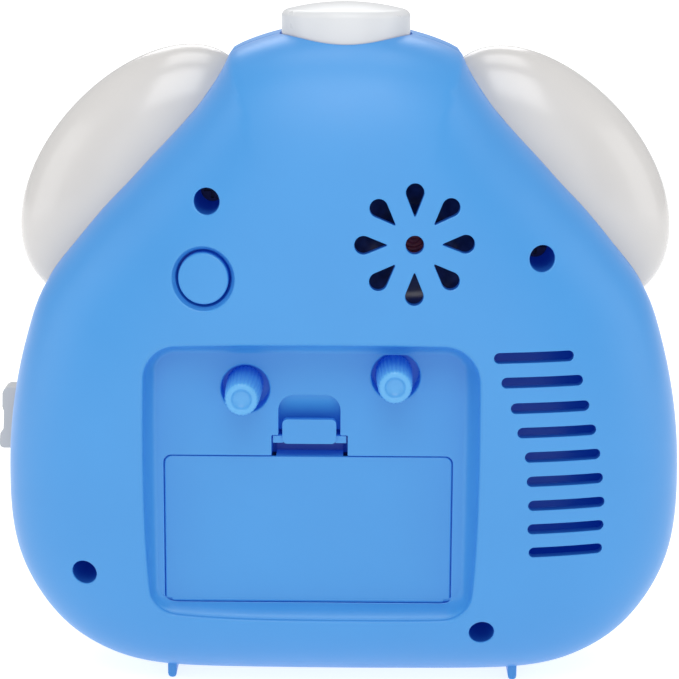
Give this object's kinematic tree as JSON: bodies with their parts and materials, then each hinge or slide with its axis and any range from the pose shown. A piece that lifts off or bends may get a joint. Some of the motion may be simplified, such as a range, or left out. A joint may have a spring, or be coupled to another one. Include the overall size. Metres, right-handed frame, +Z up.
{
  "type": "alarm clock",
  "caption": "Rounded desk alarm clock with puppy ears, a round dial inside a night light ring, a large top button, setting knobs and a latched battery door at the back.",
  "frame": {"origin": "middle of the whole box in X and Y, at the height of the surface the feet stand on", "axes": "+Z up, the dial faces -Y, the battery door and knobs face +Y, +X is the side with the slide switch"},
  "size_m": [0.1436, 0.0666, 0.1409],
  "materials": {
    "shell_blue": "fine satin moulded plastic",
    "knob_blue": "satin moulded plastic with fine flutes",
    "ear_white": "glossy pearl white",
    "button_white": "semi gloss white",
    "bezel_white": "semi gloss white",
    "clear_lens": "clear",
    "light_diffuser": "translucent milky",
    "dial_paper": "printed card",
    "face_black": "gloss black",
    "hand_dark": "satin black paint",
    "hand_red": "satin red paint",
    "hand_alarm": "satin yellow paint",
    "screw_steel": "zinc plated",
    "spring_steel": "nickel plated",
    "board_green": "solder mask over glass laminate",
    "component_black": "black moulded plastic",
    "cell_wrap": "plain dark sleeve",
    "inner_white": "acetal",
    "arbor_brass": "turned",
    "coil_copper": "enamelled winding",
    "led_clear": "clear epoxy",
    "cone_paper": "dark paper cone",
    "magnet_steel": "ferrite and plated steel"
  },
  "bodies": {
    "case": {"board_parts": "component_black", "board_screws": "screw_steel", "bracket_screws": "screw_steel", "button_bracket": "inner_white", "case_screws": "screw_steel", "cells": "cell_wrap", "clock_board": "board_green", "coil": "coil_copper", "contact_plates": "spring_steel", "contact_springs": "spring_steel", "dial_bezel": "bezel_white", "dial_lens": "clear_lens", "dial_plate": "dial_paper", "dial_ring": "bezel_white", "ear_left": "ear_white", "ear_right": "ear_white", "ear_screws": "screw_steel", "eye_left": "face_black", "eye_right": "face_black", "front_shell": "shell_blue", "key_switch": "component_black", "leds": "led_clear", "light_board": "board_green", "light_ring": "light_diffuser", "main_board": "board_green", "movement_base": "inner_white", "movement_cover": "inner_white", "movement_screws": "screw_steel", "nose": "face_black", "rear_shell": "shell_blue", "speaker_cone": "cone_paper", "speaker_frame": "component_black", "speaker_magnet": "magnet_steel", "stator": "spring_steel", "switch_body": "component_black", "tact_switch": "component_black", "top_button_spring": "spring_steel"},
    "top_button": {"top_button": "button_white"},
    "rear_button": {"rear_button": "shell_blue"},
    "mode_slider": {"mode_slider": "button_white"},
    "battery_door": {"battery_door": "shell_blue"},
    "battery_latch": {"battery_latch": "shell_blue"},
    "time_setting": {"time_knob": "knob_blue", "time_arbor": "arbor_brass"},
    "alarm_setting": {"alarm_knob": "knob_blue", "alarm_arbor": "arbor_brass"},
    "minute_train": {"minute_wheel": "inner_white", "minute_hand": "hand_dark"},
    "hour_train": {"hour_wheel": "inner_white", "hour_hand": "hand_dark"},
    "motion_work": {"motion_wheel": "inner_white"},
    "alarm_train": {"alarm_wheel": "inner_white", "alarm_hand": "hand_alarm"},
    "second_train": {"second_wheel": "inner_white", "second_hand": "hand_red"},
    "step_work": {"step_wheel": "inner_white"},
    "rotor": {"step_rotor": "magnet_steel"}
  },
  "joints": [
    {"name": "top_button_press", "type": "slide", "parent": "case", "child": "top_button", "axis": [0, 0, -1], "range_m": [0, 0.0022], "stiffness_N_per_m": 700, "springref_m": -0.001, "deforming": ["top_button_spring"]},
    {"name": "rear_button_press", "type": "slide", "parent": "case", "child": "rear_button", "axis": [0, -1, 0], "range_m": [0, 0.0012], "stiffness_N_per_m": 900, "springref_m": -0.0006},
    {"name": "mode_slide", "type": "slide", "parent": "case", "child": "mode_slider", "axis": [0, 0, 1], "range_m": [-0.002, 0.002]},
    {"name": "door_swing", "type": "hinge", "parent": "case", "child": "battery_door", "pos_m": [0.00534, 0.02295, 0.02125], "axis": [-1, 0, 0], "range_deg": [0, 95]},
    {"name": "latch_flex", "type": "hinge", "parent": "battery_door", "child": "battery_latch", "pos_m": [0.00509, 0.01785, 0.0513], "axis": [-1, 0, 0], "range_deg": [0, 8], "stiffness_Nm_per_rad": 0.2},
    {"name": "time_spin", "type": "hinge", "parent": "case", "child": "time_setting", "pos_m": [0.01822, 0.0225, 0.06525], "axis": [0, 1, 0], "continuous": true},
    {"name": "alarm_spin", "type": "hinge", "parent": "case", "child": "alarm_setting", "pos_m": [-0.01178, 0.0225, 0.06785], "axis": [0, 1, 0], "continuous": true},
    {"name": "minute_spin", "type": "hinge", "parent": "case", "child": "minute_train", "pos_m": [-0.00166, -0.0175, 0.0614], "axis": [0, 1, 0], "continuous": true},
    {"name": "hour_spin", "type": "hinge", "parent": "case", "child": "hour_train", "pos_m": [-0.00166, -0.0175, 0.0614], "axis": [0, 1, 0], "continuous": true},
    {"name": "motion_spin", "type": "hinge", "parent": "case", "child": "motion_work", "pos_m": [-0.00166, -0.0155, 0.0494], "axis": [0, 1, 0], "continuous": true},
    {"name": "alarm_hand_spin", "type": "hinge", "parent": "case", "child": "alarm_train", "pos_m": [-0.00166, -0.0185, 0.0614], "axis": [0, 1, 0], "continuous": true},
    {"name": "rotor_spin", "type": "hinge", "parent": "case", "child": "rotor", "pos_m": [0.00009, -0.0115, 0.07904], "axis": [0, 1, 0], "continuous": true},
    {"name": "step_spin", "type": "hinge", "parent": "case", "child": "step_work", "pos_m": [0.00082, -0.0115, 0.07067], "axis": [0, 1, 0], "continuous": true},
    {"name": "second_spin", "type": "hinge", "parent": "case", "child": "second_train", "pos_m": [-0.00166, -0.0115, 0.0614], "axis": [0, 1, 0], "continuous": true}
  ],
  "couplings": [
    {"joint": "minute_spin", "follows": "time_spin", "ratio": -1.025},
    {"joint": "motion_spin", "follows": "time_spin", "ratio": 0.34167},
    {"joint": "hour_spin", "follows": "time_spin", "ratio": -0.085417},
    {"joint": "alarm_hand_spin", "follows": "alarm_spin", "ratio": -0.45455},
    {"joint": "step_spin", "follows": "rotor_spin", "ratio": -0.16667},
    {"joint": "second_spin", "follows": "rotor_spin", "ratio": 0.033333}
  ]
}
